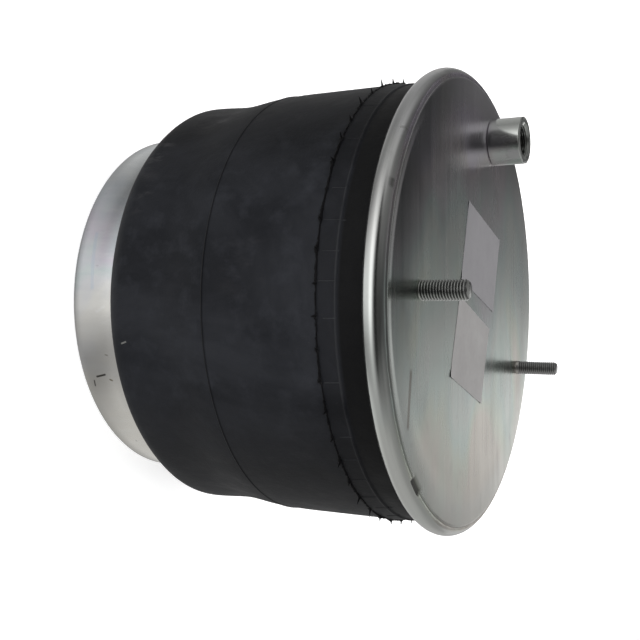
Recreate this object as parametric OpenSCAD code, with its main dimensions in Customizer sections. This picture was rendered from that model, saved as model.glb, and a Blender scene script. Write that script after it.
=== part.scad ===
// Air suspension spring: rolling-lobe bellows between a crimped top plate and a steel piston.
// The spring's axis is Z, the piston's foot stands on Z = 0, and all lengths are millimetres.

/* [Overall] */
// Height from the piston's foot to the top plate's outer face
ride_h = 231; // [226:1:260]

/* [Top plate] */
// Outside diameter over the crimped rim
plate_d = 300; // [296:1:310]
// Thickness of the sheet
plate_t = 2.5; // [2:0.25:3]
// How far the half-round rim reaches down from the face
rim_h = 14; // [13:0.5:16]
// How far the rim's crown stands above the face
crown_rise = 0.3; // [0.1:0.05:0.5]
// Radial distance from the rim's outside to where the face starts to rise
crown_inset = 12.5; // [11:0.1:12.8]
// Radial width of the lip that the rim ends in
rim_lip_w = 9.5; // [8.5:0.25:10.5]
// Radial distance from the rim's outside to the crimping groove
groove_inset = 4.5; // [3.5:0.1:6]
// Width of that groove
groove_w = 0.8; // [0.4:0.1:1.2]
// Depth of that groove
groove_depth = 0.4; // [0.2:0.1:0.8]
// Length of the crimping tool's mark on the groove
mark_l = 15; // [8:0.5:24]
// Width of that mark
mark_w = 3; // [1.5:0.1:4]
// Depth of that mark
mark_depth = 1; // [0.5:0.1:1.2]
// Direction of that mark, anticlockwise from +X
mark_angle = 311.5; // [290:0.5:340]

/* [Mounting stud] */
// Thread diameter
stud_d = 12; // [10:1:14]
// Length above the plate
stud_l = 28; // [24:1:50]
// Distance from the plate's edge to the stud's axis
stud_edge = 57.7; // [45:0.1:80]
// Direction from the plate's centre, anticlockwise from +X
stud_angle = 265.6; // [250:0.1:290]
// Diameter of the head under the plate
stud_head_d = 24; // [20:0.5:28]
// Thickness of that head
stud_head_t = 4; // [3:0.5:6]

/* [Locating stud] */
// Thread diameter
pin_d = 10; // [8:1:10]
// Length above the plate
pin_l = 29; // [20:1:40]
// Distance from the plate's edge to the stud's axis
pin_edge = 27.6; // [22:0.1:40]
// Direction from the plate's centre, anticlockwise from +X
pin_angle = 66.3; // [40:0.1:100]
// Diameter of the head under the plate
pin_head_d = 13.5; // [12.5:0.5:14]
// Thickness of that head
pin_head_t = 3; // [2:0.5:5]

/* [Air port] */
// Outside diameter of the boss
port_d = 32; // [28:0.5:34]
// Height of the boss above the plate
port_h = 22; // [15:0.5:30]
// Core diameter of the thread
port_bore_d = 20.4; // [17:0.1:21]
// Depth of the chamfer at the mouth
port_chamfer = 1.8; // [0.5:0.1:2.5]
// Diameter of the spigot through the plate
port_spigot_d = 26; // [24:0.5:27]
// Diameter of the riveted ring under the plate
port_rivet_d = 29.5; // [28:0.5:30]
// Thickness of that ring
port_rivet_t = 2.5; // [1.5:0.5:4]
// Distance from the plate's edge to the boss's axis
port_edge = 29.5; // [29.5:0.1:60]
// Direction from the plate's centre, anticlockwise from +X
port_angle = 157.1; // [130:0.1:190]

/* [Bellows] */
// Thickness of the rubber wall
wall_t = 7; // [5:0.5:8]
// Outer radius of the rolled lobe
lobe_r = 14; // [12.5:0.5:16]
// Height of the lobe's centre above the foot
lobe_z = 54.5; // [50:0.5:60]
// How far the wall's waist pulls in above the lobe
waist_in = 1.9; // [0:0.1:3]
// Height of the mould line above the foot
mould_z = 115.5; // [100:0.5:130]
// Radial distance from the rim's outside to the wall under the collar
wall_inset = 7; // [5:0.1:7.5]
// Depth of the collar below the rim
collar_h = 27.5; // [20:0.5:35]
// Step from the wall out to the collar's flash edge
flash_step = 0.5; // [0.3:0.1:1.5]
// Distance from the flash edge up to the collar's ring line
ring_rise = 11.5; // [8:0.5:14]
// How far the collar narrows between that edge and that line
collar_taper = 1.1; // [0:0.1:1.4]
// Depth of the ring line's step
ring_step = 0.7; // [0.4:0.1:1]
// Radial width of the upper bead inside the rim
bead_w = 11.4; // [10.8:0.1:11.5]
// Diameter of the upper bead's wire core
bead_core_d = 4.8; // [3:0.2:5.4]

/* [Piston] */
// Diameter of the foot
foot_d = 242; // [236:1:250]
// Height of the straight foot
foot_h = 16; // [10:1:20]
// Outer radius of the foot's lower corner
foot_corner_r = 4; // [3.5:0.25:6]
// Radial width of the turned-in foot ring
foot_ring_w = 14; // [10:1:20]
// Diameter of the flank that the lobe rolls on
flank_d = 223.4; // [218:0.2:226]
// Height at which the flank's taper from the foot ends
flank_z = 46; // [40:1:47]
// Height at which the flank starts to close towards the shoulder
neck_z = 64; // [62:1:72]
// Diameter at the shoulder
shoulder_d = 207.4; // [200:0.2:212]
// Radius of the shoulder
shoulder_r = 8; // [6:0.5:10]
// Height of the piston
piston_h = 112; // [104:1:118]
// Thickness of the piston's sheet
piston_t = 3; // [2:0.25:3.5]
// Thickness of the base plate
base_t = 5; // [4:0.5:8]
// Number of drain holes in the base plate
drain_n = 4; // [3:1:6]
// Diameter of a drain hole
drain_d = 12; // [8:1:18]
// Radius of the circle that the drain holes lie on
drain_circle_r = 72; // [60:1:85]
// Outside diameter of the support tube
tube_d = 64; // [60:1:70]
// Wall of the support tube
tube_t = 4; // [3:0.5:5]

/* [Piston mounting boss] */
// Diameter of the boss
boss_d = 44; // [36:1:48]
// Height of the boss
boss_h = 36; // [32:1:50]
// Core diameter of the thread
boss_bore_d = 14; // [10:0.5:18]
// Depth of the thread
boss_bore_l = 28; // [20:1:29]
// Depth of the chamfer at its mouth
boss_chamfer = 1; // [0.5:0.1:2]

/* [Bead clamp] */
// Thickness of the clamp plate
clamp_t = 3; // [2:0.25:4]
// Diameter of the clamp plate
clamp_d = 199; // [196:0.5:202]
// Diameter of the lower bead's inside
low_bead_d = 164; // [158:1:168]
// Height of the lower bead
low_bead_h = 12; // [11:0.5:15]
// Diameter of the lower bead's wire core
low_core_d = 6; // [4:0.2:6.4]
// How far the clamp plate's edge turns down
clamp_lip_h = 3; // [1:0.5:4]

/* [Clamp bolt] */
// Thread diameter
bolt_d = 16; // [12:1:16]
// Width across the flats of the head and the nut
bolt_af = 24; // [22:1:24]
// Height of the head
bolt_head_h = 10; // [7:0.5:12]
// Height of the weld nut
nut_h = 13; // [10:0.5:16]
// How far the bolt stands out of the nut
bolt_end = 3; // [1:0.5:8]
// Diameter of the washer
washer_d = 30; // [28:0.5:31]
// Thickness of the washer
washer_t = 3; // [2:0.5:4]

/* [Bump stop] */
// Height of the rubber block
bump_h = 60; // [50:1:62]
// Diameter at its base
bump_base_d = 76; // [70:1:84]
// Height of the straight base
bump_base_h = 8; // [4:0.5:12]
// Diameter at its waist
bump_waist_d = 60; // [54:1:66]
// Height of the waist
bump_waist_z = 25; // [20:1:32]
// Diameter of its crown
bump_crown_d = 68; // [62:1:76]
// Height at which the crown starts to round over
bump_crown_z = 48; // [40:1:48]
// Width of the crown's rounding
bump_crown_w = 6; // [3:0.5:8]
// Diameter of the hole over the bolt
bump_bore_d = 32; // [32:0.5:38]
// Thickness of its bonded steel plate
bump_plate_t = 3; // [2:0.5:5]
// Diameter of that plate
bump_plate_d = 84; // [84:1:96]

/* [Labels] */
// Length of the upper label
label_upper_l = 72; // [50:1:76]
// Length of the lower label
label_lower_l = 66; // [50:1:76]
// Width of a label
label_w = 53; // [40:1:56]
// Thickness of a label
label_t = 0.15; // [0.1:0.05:0.3]
// Angle of the upper label's long side from +Y, clockwise
label_upper_turn = 17.5; // [14:0.5:21]
// Angle of the lower label's long side from +Y, clockwise
label_lower_turn = 20; // [15:0.5:23]
// Place of the upper label's centre along X
label_upper_x = -29.5; // [-34:0.5:-29]
// Place of the upper label's centre along Y
label_upper_y = 19; // [10:0.5:25]
// Place of the lower label's centre along X
label_lower_x = 31.5; // [31:0.5:36]
// Place of the lower label's centre along Y
label_lower_y = -4; // [-8:0.5:5]

/* [Fits] */
// Gap between two pieces of one body that are welded, gripped or bonded
seat_gap = 0.1; // [0.05:0.05:0.15]
// Gap between the rubber and a piece that it rolls past
roll_gap = 0.3; // [0.2:0.05:0.5]
// Radial play of the bolt in the plates that it holds
bolt_play = 0.5; // [0.3:0.1:1]

/* [Hidden] */

zinc = "#b7bcb6";
bright = "#c9cccb";
dark_steel = "#8d9092";
rubber = "#2a2c30";
soft_rubber = "#34363a";
wire = "#a98f5c";
paper = "#c9c8d2";

$fn = 96;
ARC = 8;
ROLL_STEPS = 24;
WALL_STEPS = 16;
WAIST_SHARE = 0.45;
RISE_SHARE = 0.6;
CUT = 1;
EPS = 0.01;

plate_r = plate_d / 2;
under_z = ride_h - plate_t;
rim_z = ride_h - rim_h;
crown_z = ride_h + crown_rise;
face_r = plate_r - crown_inset;
roll_r = (rim_h + crown_rise) / 2;
roll_mid = [plate_r - roll_r, rim_z + roll_r];
groove_z = roll_mid[1] + sqrt(pow(roll_r, 2) - pow(roll_r - groove_inset, 2));
lip_r = plate_r - rim_lip_w;
neck_r = lip_r - roll_gap;
bead_out_r = plate_r - plate_t - seat_gap;
bead_in_r = bead_out_r - bead_w;
bead_mid_r = bead_out_r - bead_w / 2;
bead_low_z = rim_z + plate_t + seat_gap;
bead_top_z = under_z - seat_gap;
bead_mid_z = (bead_low_z + bead_top_z) / 2;
collar_z = rim_z - collar_h;
wall_top_r = plate_r - wall_inset;
flank_r = flank_d / 2;
lobe_mid_r = flank_r + roll_gap + lobe_r;
lobe_max_r = lobe_mid_r + lobe_r;
wall_z = lobe_z + roll_gap;
foot_r = foot_d / 2;
shoulder_top_r = shoulder_d / 2;
arc_mid = [shoulder_top_r - shoulder_r, piston_h - shoulder_r];
low_bead_in_r = low_bead_d / 2;
low_bead_z = piston_h + seat_gap;
low_bead_top_z = low_bead_z + low_bead_h;
low_bead_mid_r = (low_bead_in_r + arc_mid[0]) / 2;
low_bead_mid_z = low_bead_z + low_bead_h / 2;
clamp_r = clamp_d / 2;
clamp_wall_r = low_bead_in_r - seat_gap;
clamp_flange_z = low_bead_top_z + seat_gap;
bump_plate_z = piston_h + clamp_t;
bump_z = bump_plate_z + bump_plate_t;
head_z = bump_z + washer_t;
nut_z = piston_h - piston_t - nut_h;
bolt_low_z = nut_z - bolt_end;
tube_z = piston_t + base_t;
tube_h = piston_h - piston_t - tube_z;
tip_chamfer = 1.5;
stud_shoulder = 0.5;
low_bead_corner_r = 2;

// Points of an arc about a centre, from one angle to another
function arc_points(mid, r, from, to, steps = ARC) =
    [for (i = [0:steps]) let (a = from + (to - from) * i / steps) mid + r * [cos(a), sin(a)]];
// Smooth step from 0 to 1
function ease(s) = s * s * (3 - 2 * s);
// Point between two others, with its own share of the way for radius and height
function between(a, b, r_share, z_share) =
    [a[0] + (b[0] - a[0]) * r_share, a[1] + (b[1] - a[1]) * z_share];
// Radius of the bellows' outside at a share t of the way from the lobe to the collar
function wall_r(t) =
    lobe_max_r + (wall_top_r - lobe_max_r) * ease(min(t / RISE_SHARE, 1))
    - waist_in * pow(sin(180 * min(t / WAIST_SHARE, 1)), 2);
// Height at a share t of that way
function wall_height(t) = lobe_z + (collar_z - lobe_z) * t;
// Share of the way at which a height lies
function wall_share(z) = (z - lobe_z) / (collar_z - lobe_z);
// Centre of a piece on the plate, from its distance to the edge and its direction
function on_plate(edge, angle) = (plate_r - edge) * [cos(angle), sin(angle)];

// Stretch of the bellows' wall between two heights
module wall_band(low, high) {
    steps = [for (i = [0:WALL_STEPS])
        let (t = wall_share(low + (high - low) * i / WALL_STEPS)) [wall_r(t), wall_height(t)]];
    inside = [for (i = [WALL_STEPS:-1:0]) steps[i] - [wall_t, 0]];
    rotate_extrude() polygon(concat(steps, inside));
}

// Threaded stud with a shoulder through the plate and a head under it
module plate_stud(d, l, edge, angle, head_d, head_t) {
    place = on_plate(edge, angle);
    translate([place[0], place[1], 0]) {
        translate([0, 0, under_z - seat_gap - head_t]) cylinder(d = head_d, h = head_t);
        translate([0, 0, under_z - seat_gap - EPS])
            cylinder(r = d / 2 + stud_shoulder, h = plate_t + seat_gap + EPS);
        translate([0, 0, ride_h - EPS]) cylinder(d = d, h = l - tip_chamfer + EPS);
        translate([0, 0, ride_h + l - tip_chamfer])
            cylinder(r1 = d / 2, r2 = d / 2 - tip_chamfer, h = tip_chamfer);
    }
}

// Round hole through the plate for a piece that stands in it
module plate_hole(r, edge, angle) {
    place = on_plate(edge, angle);
    translate([place[0], place[1], under_z - CUT]) cylinder(r = r, h = plate_t + 2 * CUT);
}

// Blank label on the plate
module label(x, y, turn, l) {
    color(paper) translate([x, y, ride_h]) rotate(-turn)
        translate([-label_w / 2, -l / 2, 0]) cube([label_w, l, label_t]);
}

// Six-sided bar measured across its flats
module hex_bar(af, h) cylinder(d = af / cos(30), h = h, $fn = 6);

// Groove that the crimping tool leaves on the rim, with a mark where it closed
module crimp_marks() {
    groove_r = plate_r - groove_inset;
    straight = mark_l - mark_w;
    ring_h = groove_depth + 2 * CUT;
    translate([0, 0, groove_z - groove_depth]) difference() {
        cylinder(r = groove_r + groove_w / 2, h = ring_h);
        translate([0, 0, -CUT]) cylinder(r = groove_r - groove_w / 2, h = ring_h + 2 * CUT);
    }
    rotate(mark_angle) translate([groove_r, 0, groove_z - mark_depth]) {
        translate([-mark_w / 2, -straight / 2, 0]) cube([mark_w, straight, mark_depth + 2 * CUT]);
        for (side = [-1, 1])
            translate([0, side * straight / 2, 0]) cylinder(d = mark_w, h = mark_depth + 2 * CUT);
    }
}

module top_plate() {
    profile = concat(
        [[0, ride_h], [face_r, ride_h]],
        arc_points(roll_mid, roll_r, 90, -90, ROLL_STEPS),
        [[lip_r, rim_z], [lip_r, rim_z + plate_t]],
        arc_points(roll_mid, roll_r - plate_t, -90, 90, ROLL_STEPS),
        [[face_r, under_z], [0, under_z]]
    );
    color(zinc) difference() {
        rotate_extrude() polygon(profile);
        crimp_marks();
        plate_hole(stud_d / 2 + stud_shoulder + seat_gap, stud_edge, stud_angle);
        plate_hole(pin_d / 2 + stud_shoulder + seat_gap, pin_edge, pin_angle);
        plate_hole(port_spigot_d / 2 + seat_gap, port_edge, port_angle);
    }
}

module mounting_stud() {
    color(bright) plate_stud(stud_d, stud_l, stud_edge, stud_angle, stud_head_d, stud_head_t);
}

module locating_stud() {
    color(dark_steel) plate_stud(pin_d, pin_l, pin_edge, pin_angle, pin_head_d, pin_head_t);
}

module air_port_boss() {
    place = on_plate(port_edge, port_angle);
    low_z = under_z - seat_gap - port_rivet_t;
    color(bright) translate([place[0], place[1], 0]) difference() {
        union() {
            translate([0, 0, ride_h]) cylinder(d = port_d, h = port_h);
            translate([0, 0, low_z]) cylinder(d = port_spigot_d, h = ride_h - low_z + EPS);
            translate([0, 0, low_z]) cylinder(d = port_rivet_d, h = port_rivet_t);
        }
        translate([0, 0, low_z - CUT])
            cylinder(d = port_bore_d, h = ride_h + port_h - low_z + 2 * CUT);
        translate([0, 0, ride_h + port_h - port_chamfer])
            cylinder(d1 = port_bore_d, d2 = port_bore_d + 2 * port_chamfer, h = port_chamfer);
    }
}

module label_upper() label(label_upper_x, label_upper_y, label_upper_turn, label_upper_l);

module label_lower() label(label_lower_x, label_lower_y, label_lower_turn, label_lower_l);

module upper_bead() {
    profile = concat(
        [[bead_in_r, rim_z], [bead_in_r, bead_top_z], [face_r, bead_top_z]],
        arc_points(roll_mid, roll_r - plate_t - seat_gap, 90, -90, ROLL_STEPS),
        [[neck_r, bead_low_z], [neck_r, rim_z]]
    );
    color(rubber) rotate_extrude() difference() {
        polygon(profile);
        translate([bead_mid_r, bead_mid_z]) circle(d = bead_core_d + 2 * seat_gap);
    }
}

module upper_bead_core() {
    color(wire) rotate_extrude() translate([bead_mid_r, bead_mid_z]) circle(d = bead_core_d);
}

// The thick end of the bellows under the rim, with its flash edge and ring line
module bellows_collar() {
    flash_r = wall_top_r + flash_step;
    ring_z = collar_z + ring_rise;
    taper_r = flash_r - collar_taper;
    ring_r = taper_r - ring_step;
    tuck = ring_r - neck_r;
    profile = concat(
        [[wall_top_r - wall_t, collar_z], [flash_r, collar_z], [taper_r, ring_z - ring_step],
         [ring_r, ring_z]],
        arc_points([neck_r, rim_z - roll_gap - tuck], tuck, 0, 90),
        [[neck_r, rim_z], [bead_in_r, rim_z]]
    );
    color(rubber) rotate_extrude() polygon(profile);
}

module bellows_upper_wall() color(rubber) wall_band(mould_z, collar_z);

module bellows_lower_wall() color(rubber) wall_band(wall_z, mould_z);

module bellows_lobe() {
    color(rubber) rotate_extrude() translate([lobe_mid_r, lobe_z]) difference() {
        circle(r = lobe_r);
        circle(r = lobe_r - wall_t);
        translate([-2 * lobe_r, 0]) square([4 * lobe_r, 2 * lobe_r]);
    }
}

// The rubber that lies on the piston between the lobe and the lower bead
module bellows_inner_wall() {
    out = shoulder_r + seat_gap;
    profile = concat(
        [[flank_r + roll_gap, wall_z], [flank_r + roll_gap, neck_z]],
        arc_points(arc_mid, out, 0, 90),
        arc_points(arc_mid, out + wall_t, 90, 0),
        [[flank_r + roll_gap + wall_t, neck_z], [flank_r + roll_gap + wall_t, wall_z]]
    );
    color(rubber) rotate_extrude() polygon(profile);
}

module lower_bead() {
    edge_z = low_bead_z + wall_t;
    profile = concat(
        [[arc_mid[0], low_bead_z], [low_bead_in_r, low_bead_z]],
        arc_points([low_bead_in_r + low_bead_corner_r, low_bead_top_z - low_bead_corner_r],
            low_bead_corner_r, 180, 90),
        [[arc_mid[0] - (low_bead_top_z - edge_z) / 2, low_bead_top_z], [arc_mid[0], edge_z]]
    );
    color(rubber) rotate_extrude() difference() {
        polygon(profile);
        translate([low_bead_mid_r, low_bead_mid_z]) circle(d = low_core_d + 2 * seat_gap);
    }
}

module lower_bead_core() {
    color(wire) rotate_extrude() translate([low_bead_mid_r, low_bead_mid_z]) circle(d = low_core_d);
}

// Pressed dish whose flange holds the lower bead down
module bead_clamp_plate() {
    top_z = clamp_flange_z + clamp_t;
    profile = [
        [bolt_d / 2 + bolt_play, piston_h], [clamp_wall_r, piston_h], [clamp_wall_r, clamp_flange_z],
        [clamp_r - clamp_t, clamp_flange_z], [clamp_r - clamp_t, clamp_flange_z - clamp_lip_h],
        [clamp_r, clamp_flange_z - clamp_lip_h], [clamp_r, top_z], [clamp_wall_r - clamp_t, top_z],
        [clamp_wall_r - clamp_t, piston_h + clamp_t], [bolt_d / 2 + bolt_play, piston_h + clamp_t]
    ];
    color(zinc) rotate_extrude() polygon(profile);
}

module clamp_bolt() {
    color(dark_steel) {
        translate([0, 0, head_z]) hex_bar(bolt_af, bolt_head_h);
        translate([0, 0, bolt_low_z]) cylinder(d = bolt_d, h = head_z - bolt_low_z + EPS);
    }
}

module bolt_washer() {
    color(bright) translate([0, 0, bump_z]) difference() {
        cylinder(d = washer_d, h = washer_t);
        translate([0, 0, -CUT]) cylinder(r = bolt_d / 2 + bolt_play, h = washer_t + 2 * CUT);
    }
}

module weld_nut() {
    color(dark_steel) translate([0, 0, nut_z]) difference() {
        hex_bar(bolt_af, nut_h);
        translate([0, 0, -CUT]) cylinder(r = bolt_d / 2 + seat_gap, h = nut_h + 2 * CUT);
    }
}

// Rubber block that meets the top plate at the end of the stroke
module bump_stop() {
    base = [bump_base_d / 2, bump_base_h];
    waist = [bump_waist_d / 2, bump_waist_z];
    crown = [bump_crown_d / 2, bump_crown_z];
    profile = concat(
        [[bump_bore_d / 2, 0], [base[0], 0]],
        [for (i = [0:ARC]) let (s = i / ARC) between(base, waist, s * (2 - s), s)],
        [for (i = [1:ARC]) let (s = i / ARC) between(waist, crown, ease(s), s)],
        [for (i = [1:ARC]) let (a = 90 * i / ARC)
            crown + [bump_crown_w * (cos(a) - 1), (bump_h - bump_crown_z) * sin(a)]],
        [[bump_bore_d / 2, bump_h]]
    );
    color(soft_rubber) translate([0, 0, bump_z]) rotate_extrude() polygon(profile);
}

module bump_stop_plate() {
    color(dark_steel) translate([0, 0, bump_plate_z]) difference() {
        cylinder(d = bump_plate_d, h = bump_plate_t);
        translate([0, 0, -CUT]) cylinder(r = bolt_d / 2 + bolt_play, h = bump_plate_t + 2 * CUT);
    }
}

// Deep-drawn drum: foot, flank that the lobe rolls on, shoulder and flat top
module piston_shell() {
    corner_mid = [foot_r - foot_corner_r, foot_corner_r];
    profile = concat(
        [[foot_r - foot_ring_w, 0]],
        arc_points(corner_mid, foot_corner_r, -90, 0),
        [[foot_r, foot_h], [flank_r, flank_z], [flank_r, neck_z]],
        arc_points(arc_mid, shoulder_r, 0, 90),
        [[bolt_d / 2 + bolt_play, piston_h], [bolt_d / 2 + bolt_play, piston_h - piston_t]],
        arc_points(arc_mid, shoulder_r - piston_t, 90, 0),
        [[flank_r - piston_t, neck_z], [flank_r - piston_t, flank_z], [foot_r - piston_t, foot_h],
         [foot_r - piston_t, piston_t], [foot_r - foot_ring_w, piston_t]]
    );
    color(zinc) rotate_extrude() polygon(profile);
}

module piston_base_plate() {
    color(zinc) translate([0, 0, piston_t]) difference() {
        cylinder(r = foot_r - piston_t - seat_gap, h = base_t);
        translate([0, 0, -CUT]) cylinder(r = boss_d / 2 + seat_gap, h = base_t + 2 * CUT);
        for (i = [0:drain_n - 1])
            rotate(360 * (i + 0.5) / drain_n) translate([drain_circle_r, 0, -CUT])
                cylinder(d = drain_d, h = base_t + 2 * CUT);
    }
}

module support_tube() {
    color(dark_steel) translate([0, 0, tube_z]) difference() {
        cylinder(d = tube_d, h = tube_h);
        translate([0, 0, -CUT]) cylinder(r = tube_d / 2 - tube_t, h = tube_h + 2 * CUT);
    }
}

module piston_mounting_boss() {
    color(bright) difference() {
        cylinder(d = boss_d, h = boss_h);
        translate([0, 0, -CUT]) cylinder(d = boss_bore_d, h = boss_bore_l + CUT);
        translate([0, 0, -EPS])
            cylinder(d1 = boss_bore_d + 2 * boss_chamfer, d2 = boss_bore_d, h = boss_chamfer);
    }
}

top_plate();
mounting_stud();
locating_stud();
air_port_boss();
label_upper();
label_lower();
upper_bead();
upper_bead_core();
bellows_collar();
bellows_upper_wall();
bellows_lower_wall();
bellows_lobe();
bellows_inner_wall();
lower_bead();
lower_bead_core();
bead_clamp_plate();
clamp_bolt();
bolt_washer();
weld_nut();
bump_stop();
bump_stop_plate();
piston_shell();
piston_base_plate();
support_tube();
piston_mounting_boss();
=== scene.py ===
import math
import random

import bpy
import numpy as np
from mathutils import Matrix, Vector


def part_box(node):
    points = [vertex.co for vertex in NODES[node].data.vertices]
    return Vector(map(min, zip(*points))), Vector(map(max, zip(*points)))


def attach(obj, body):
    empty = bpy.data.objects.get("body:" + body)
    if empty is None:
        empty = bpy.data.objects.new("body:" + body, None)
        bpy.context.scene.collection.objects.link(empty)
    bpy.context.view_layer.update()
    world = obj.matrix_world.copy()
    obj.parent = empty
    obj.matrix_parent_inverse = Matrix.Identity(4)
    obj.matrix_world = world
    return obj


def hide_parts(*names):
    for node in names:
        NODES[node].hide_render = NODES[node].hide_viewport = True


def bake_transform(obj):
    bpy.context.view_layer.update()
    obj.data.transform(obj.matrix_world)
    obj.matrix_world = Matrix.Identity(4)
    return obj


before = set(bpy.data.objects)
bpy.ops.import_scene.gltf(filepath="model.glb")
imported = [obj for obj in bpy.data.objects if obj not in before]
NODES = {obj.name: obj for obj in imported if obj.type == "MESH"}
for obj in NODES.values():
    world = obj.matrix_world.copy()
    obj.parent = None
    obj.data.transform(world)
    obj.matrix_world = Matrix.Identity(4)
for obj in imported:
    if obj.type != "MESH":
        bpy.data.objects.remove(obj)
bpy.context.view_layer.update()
SCENE = bpy.context.scene


def reach(node):
    """Radius of a round node about the part's axis, in millimetres."""
    return round(1000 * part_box(node)[1][0], 1)


def lowest(node):
    """Height of a node's bottom, in millimetres."""
    return round(1000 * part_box(node)[0][2], 1)


def highest(node):
    """Height of a node's top, in millimetres."""
    return round(1000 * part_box(node)[1][2], 1)


def m(size):
    """Millimetres in metres, the unit of the shaders' coordinates."""
    return size / 1000


# Sizes in millimetres, from the frame where a node shows them
RIDE_H = lowest("label_upper")
PLATE_R = reach("top_plate")
PLATE_T = 2.5
SEAT_GAP = 0.1
RIM_Z = lowest("top_plate")
ROLL_R = round((highest("top_plate") - RIM_Z) / 2, 2)
NECK_R = 140.2
RING_R = 141.7
RIDGE_Z = 200.5
TAPER_R = 142.4
FLASH_R = reach("bellows_collar")
COLLAR_Z = lowest("bellows_collar")
WALL_TOP_R = reach("bellows_upper_wall")
WALL_T = 7.0
WAIST = 1.9
MOULD_Z = lowest("bellows_upper_wall")
LOBE_MAX_R = reach("bellows_lobe")
LOBE_Z = highest("bellows_lobe")
LOBE_R = 14.0
LOBE_MID_R = LOBE_MAX_R - LOBE_R
FLANK_R = LOBE_MID_R - LOBE_R
INNER_LOW_Z = lowest("bellows_inner_wall")
SHOULDER = (95.7, 104.0)
SHOULDER_R = 8.1
NECK_Z = 64.0
FOOT_R = reach("piston_shell")
PISTON_TOP_Z = highest("piston_shell")
VENTS = 50
VENT_PHASE = -4.4


def place(edge, angle):
    """Centre on the plate from the distance to its edge and the direction in degrees."""
    a = math.radians(angle)
    return (PLATE_R - edge) * math.cos(a), (PLATE_R - edge) * math.sin(a)


STUD_AT = place(57.7, 265.6)
PIN_AT = place(27.6, 66.3)
PORT_AT = place(29.5, 157.1)


# Mesh helpers
def mesh_object(name, verts, faces, material, sharp=40.0):
    """Mesh object from points in millimetres, smooth apart from edges sharper than the angle."""
    mesh = bpy.data.meshes.new(name)
    mesh.from_pydata((np.asarray(verts, float) / 1000.0).tolist(), [], faces)
    mesh.validate()
    mesh.polygons.foreach_set("use_smooth", [True] * len(mesh.polygons))
    mesh.set_sharp_from_angle(angle=math.radians(sharp))
    mesh.materials.append(material)
    obj = bpy.data.objects.new(name, mesh)
    SCENE.collection.objects.link(obj)
    return obj


def grid_faces(rows, segs, closed):
    """Faces between rings of points; a closed grid joins its last ring to its first."""
    faces = []
    for i in range(rows if closed else rows - 1):
        a, b = i * segs, ((i + 1) % rows) * segs
        for j in range(segs):
            k = (j + 1) % segs
            faces.append((a + j, b + j, b + k, a + k))
    return faces


def angles(segs):
    """Directions of the points of a ring, in radians."""
    return np.arange(segs) * 2 * math.pi / segs


def spun(profile, segs):
    """Radius and height of each point of a profile, repeated for each segment of a turn."""
    points = np.array(profile)
    return np.repeat(points[:, :1], segs, 1), np.repeat(points[:, 1:], segs, 1)


def turned(name, radius, height, material, centre=(0.0, 0.0), closed=True, sharp=40.0):
    """Turned surface: radius and height are arrays of rows by segments, with row order such that
    the outside faces out. A closed one joins its last row to its first, an open one is capped."""
    rows, segs = radius.shape
    a = angles(segs)
    pts = np.stack([centre[0] + radius * np.sin(a), centre[1] - radius * np.cos(a), height], -1)
    verts = pts.reshape(-1, 3).tolist()
    faces = grid_faces(rows, segs, closed)
    if not closed:
        faces.append(tuple(range(segs)))
        faces.append(tuple(range((rows - 1) * segs, rows * segs))[::-1])
    return mesh_object(name, verts, faces, material, sharp)


def tag(obj, name, values):
    """Stores a number for each point of a turned piece, for its material."""
    layer = obj.data.attributes.new(name, "FLOAT", "POINT")
    flat = np.zeros(len(obj.data.vertices), np.float32)
    given = np.asarray(values, np.float32).reshape(-1)
    flat[:len(given)] = given
    layer.data.foreach_set("value", flat)


def arc(mid, r, start, end, steps):
    """Points of an arc from one angle to another, in degrees."""
    t = np.radians(np.linspace(start, end, steps + 1))
    return [(mid[0] + r * math.cos(x), mid[1] + r * math.sin(x)) for x in t]


def resample(points, step):
    """Points along a polyline, with no stretch longer than the step."""
    out = [points[0]]
    for p, q in zip(points, points[1:]):
        n = max(1, int(math.ceil(math.dist(p, q) / step)))
        out += [(p[0] + (q[0] - p[0]) * i / n, p[1] + (q[1] - p[1]) * i / n) for i in range(1, n + 1)]
    return out


def ease(t):
    """Smooth rise from 0 to 1."""
    return t * t * (3 - 2 * t)


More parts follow.
